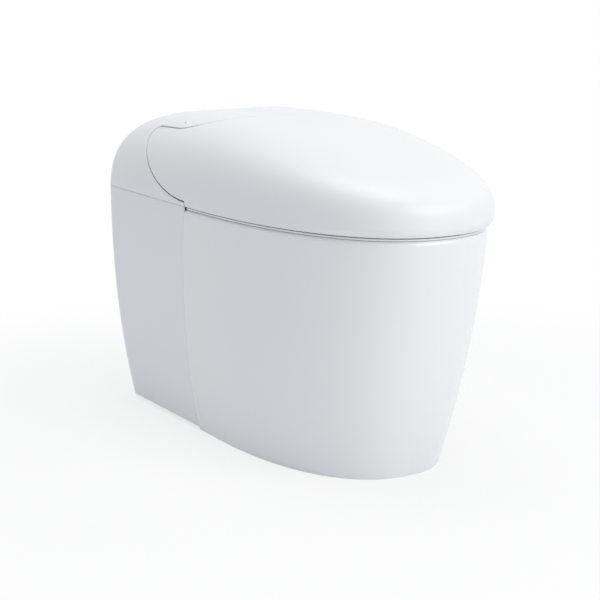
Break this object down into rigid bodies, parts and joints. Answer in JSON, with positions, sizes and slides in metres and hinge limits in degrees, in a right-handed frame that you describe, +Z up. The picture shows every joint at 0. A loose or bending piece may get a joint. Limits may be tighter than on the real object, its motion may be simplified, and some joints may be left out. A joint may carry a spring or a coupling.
{
  "type": "smart toilet with heated seat",
  "caption": "One-piece floor-standing smart toilet: flared skirted bowl, crowned lid with heated seat, rear housing with wash wand, dryer and flush unit.",
  "frame": {"origin": "on the floor, under the middle of the toilet's box", "axes": "+Z up, +Y towards the wall behind the toilet, -Y out of the nose of the bowl, +X the user's left when seated"},
  "size_m": [0.4262, 0.8009, 0.5483],
  "materials": {
    "ceramic": "glazed vitreous china, high gloss",
    "shell": "white gloss moulding",
    "seat_white": "white satin gloss",
    "grey_plastic": "grey moulding",
    "white_plastic": "white moulding",
    "black_plastic": "black moulding",
    "acetal": "natural acetal",
    "rubber": "soft grey rubber",
    "pipe": "dark moulded pipe",
    "steel": "brushed steel",
    "motor": "plated motor can",
    "brass": "brass",
    "board": "green circuit board",
    "heater": "aluminium",
    "mat": "heater foil",
    "lens": "dark lens"
  },
  "bodies": {
    "toilet": {"bowl": "ceramic", "chassis": "grey_plastic", "control_board": "board", "control_box": "black_plastic", "deodorizer_cartridge": "black_plastic", "deodorizer_housing": "grey_plastic", "deodorizer_motor": "motor", "dryer_heater": "heater", "dryer_housing": "grey_plastic", "dryer_motor": "motor", "fascia": "white_plastic", "fill_valve": "grey_plastic", "floor_socket": "grey_plastic", "flush_pump_housing": "grey_plastic", "flush_pump_motor": "motor", "hinge_bushes": "acetal", "hinge_frame": "steel", "housing_cover": "shell", "indicator_lens": "lens", "jet_pipe": "pipe", "lid_drive": "motor", "outlet_seal": "rubber", "panel_clips": "grey_plastic", "power_gland": "black_plastic", "seat_drive": "motor", "side_panel_left": "shell", "side_panel_right": "shell", "supply_valve": "brass", "tank": "white_plastic", "tank_lid": "white_plastic", "wand_guide": "grey_plastic", "wand_motor": "motor", "water_heater": "white_plastic"},
    "seat": {"seat": "seat_white", "seat_base": "seat_white", "seat_heater": "mat", "seat_bumpers": "rubber", "seat_spindle": "steel"},
    "lid": {"lid": "shell", "lid_bumpers": "rubber", "lid_spindle": "steel"},
    "wand": {"wand_tube": "white_plastic", "nozzle_tip": "white_plastic"},
    "pinion": {"wand_pinion": "acetal"},
    "dryer_fan": {"dryer_fan": "white_plastic"},
    "deodorizer_fan": {"deodorizer_fan": "white_plastic"},
    "impeller": {"flush_pump_impeller": "white_plastic"},
    "flap": {"dryer_flap": "white_plastic"},
    "float": {"float": "black_plastic"},
    "plug": {"filter_plug": "white_plastic"}
  },
  "joints": [
    {"name": "seat_hinge", "type": "hinge", "parent": "toilet", "child": "seat", "pos_m": [0, 0.23, 0.505], "axis": [-1, 0, 0], "range_deg": [0, 93]},
    {"name": "lid_hinge", "type": "hinge", "parent": "seat", "child": "lid", "pos_m": [0, 0.23, 0.505], "axis": [1, 0, 0], "range_deg": [-98, 0]},
    {"name": "wand_slide", "type": "slide", "parent": "toilet", "child": "wand", "axis": [0, -0.9659, -0.2588], "range_m": [0, 0.1]},
    {"name": "wand_pinion_spin", "type": "hinge", "parent": "toilet", "child": "pinion", "pos_m": [0, 0.1378, 0.4123], "axis": [-1, 0, 0], "range_deg": [0, 819]},
    {"name": "dryer_fan_spin", "type": "hinge", "parent": "toilet", "child": "dryer_fan", "pos_m": [-0.072, 0.165, 0.373], "axis": [0, 0, 1], "continuous": true},
    {"name": "deodorizer_fan_spin", "type": "hinge", "parent": "toilet", "child": "deodorizer_fan", "pos_m": [0.068, 0.165, 0.369], "axis": [0, 0, 1], "continuous": true},
    {"name": "flush_pump_spin", "type": "hinge", "parent": "toilet", "child": "impeller", "pos_m": [0.078, 0.178, 0.062], "axis": [0, 0, 1], "continuous": true},
    {"name": "dryer_flap_hinge", "type": "hinge", "parent": "toilet", "child": "flap", "pos_m": [-0.036, 0.0434, 0.3765], "axis": [-1, 0, 0], "range_deg": [0, 70], "stiffness_Nm_per_rad": 0.004, "springref_deg": -17.19},
    {"name": "float_slide", "type": "slide", "parent": "toilet", "child": "float", "axis": [0, 0, 1], "range_m": [0, 0.06]},
    {"name": "filter_plug_turn", "type": "hinge", "parent": "toilet", "child": "plug", "pos_m": [-0.095, 0.336, 0.38], "axis": [-1, 0, 0], "range_deg": [0, 90]}
  ],
  "couplings": [
    {"joint": "wand_pinion_spin", "follows": "wand_slide", "rad_per_m": 142.86}
  ]
}
